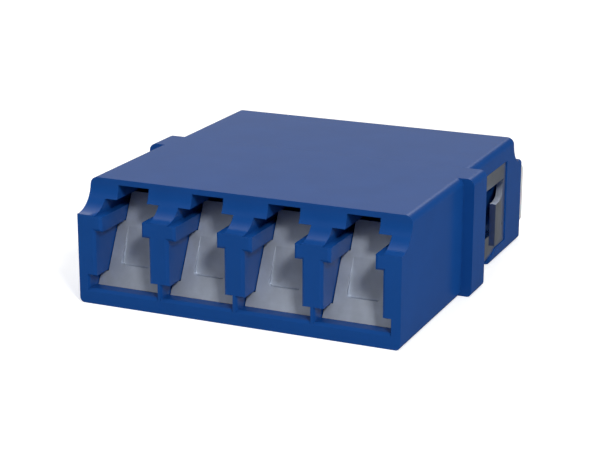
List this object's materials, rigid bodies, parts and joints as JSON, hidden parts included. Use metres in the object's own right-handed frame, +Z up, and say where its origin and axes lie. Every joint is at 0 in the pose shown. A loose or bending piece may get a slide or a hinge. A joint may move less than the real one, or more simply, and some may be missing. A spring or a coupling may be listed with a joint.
{
  "type": "lc fibre adapter",
  "caption": "Blue LC fibre adapter with ports in a row, sprung metal shutters in front, dust caps behind, flange tabs and a sprung steel panel clip.",
  "frame": {"origin": "underside, in the middle of the whole length and width", "axes": "+Y from the shuttered front face to the rear, +X to the right seen from the front, +Z up"},
  "size_m": [0.0284, 0.032, 0.0094],
  "materials": {
    "blue_plastic": "fine matt moulded PBT, blue",
    "clip_steel": "spring steel, bright rolled",
    "flap_steel": "stamped stainless sheet, satin",
    "pin_steel": "drawn stainless wire",
    "zirconia": "ground zirconia, white",
    "cap_plastic": "soft light grey polymer"
  },
  "bodies": {
    "housing": {"front_housing": "blue_plastic", "rear_housing": "blue_plastic", "panel_clip": "clip_steel", "sleeve_1": "zirconia", "sleeve_2": "zirconia", "sleeve_3": "zirconia", "sleeve_4": "zirconia", "hinge_pin_1": "pin_steel", "hinge_pin_2": "pin_steel", "hinge_pin_3": "pin_steel", "hinge_pin_4": "pin_steel"},
    "shutter_1": {"shutter_flap_1": "flap_steel", "shutter_spring_1": "pin_steel"},
    "shutter_2": {"shutter_flap_2": "flap_steel", "shutter_spring_2": "pin_steel"},
    "shutter_3": {"shutter_flap_3": "flap_steel", "shutter_spring_3": "pin_steel"},
    "shutter_4": {"shutter_flap_4": "flap_steel", "shutter_spring_4": "pin_steel"},
    "dust_cap_1": {"dust_cap_1": "cap_plastic"},
    "dust_cap_2": {"dust_cap_2": "cap_plastic"},
    "dust_cap_3": {"dust_cap_3": "cap_plastic"},
    "dust_cap_4": {"dust_cap_4": "cap_plastic"}
  },
  "joints": [
    {"name": "shutter_1_hinge", "type": "hinge", "parent": "housing", "child": "shutter_1", "pos_m": [-0.00937, -0.01448, 0.00083], "axis": [1, 0, 0], "range_deg": [-63, 0], "stiffness_Nm_per_rad": 0.00003, "springref_deg": 57.3, "deforming": ["shutter_spring_1"]},
    {"name": "shutter_2_hinge", "type": "hinge", "parent": "housing", "child": "shutter_2", "pos_m": [-0.00313, -0.01448, 0.00083], "axis": [1, 0, 0], "range_deg": [-63, 0], "stiffness_Nm_per_rad": 0.00003, "springref_deg": 57.3, "deforming": ["shutter_spring_2"]},
    {"name": "shutter_3_hinge", "type": "hinge", "parent": "housing", "child": "shutter_3", "pos_m": [0.00313, -0.01448, 0.00083], "axis": [1, 0, 0], "range_deg": [-63, 0], "stiffness_Nm_per_rad": 0.00003, "springref_deg": 57.3, "deforming": ["shutter_spring_3"]},
    {"name": "shutter_4_hinge", "type": "hinge", "parent": "housing", "child": "shutter_4", "pos_m": [0.00937, -0.01448, 0.00083], "axis": [1, 0, 0], "range_deg": [-63, 0], "stiffness_Nm_per_rad": 0.00003, "springref_deg": 57.3, "deforming": ["shutter_spring_4"]},
    {"name": "dust_cap_1_pull", "type": "slide", "parent": "housing", "child": "dust_cap_1", "axis": [0, 1, 0], "range_m": [0, 0.012]},
    {"name": "dust_cap_2_pull", "type": "slide", "parent": "housing", "child": "dust_cap_2", "axis": [0, 1, 0], "range_m": [0, 0.012]},
    {"name": "dust_cap_3_pull", "type": "slide", "parent": "housing", "child": "dust_cap_3", "axis": [0, 1, 0], "range_m": [0, 0.012]},
    {"name": "dust_cap_4_pull", "type": "slide", "parent": "housing", "child": "dust_cap_4", "axis": [0, 1, 0], "range_m": [0, 0.012]}
  ]
}
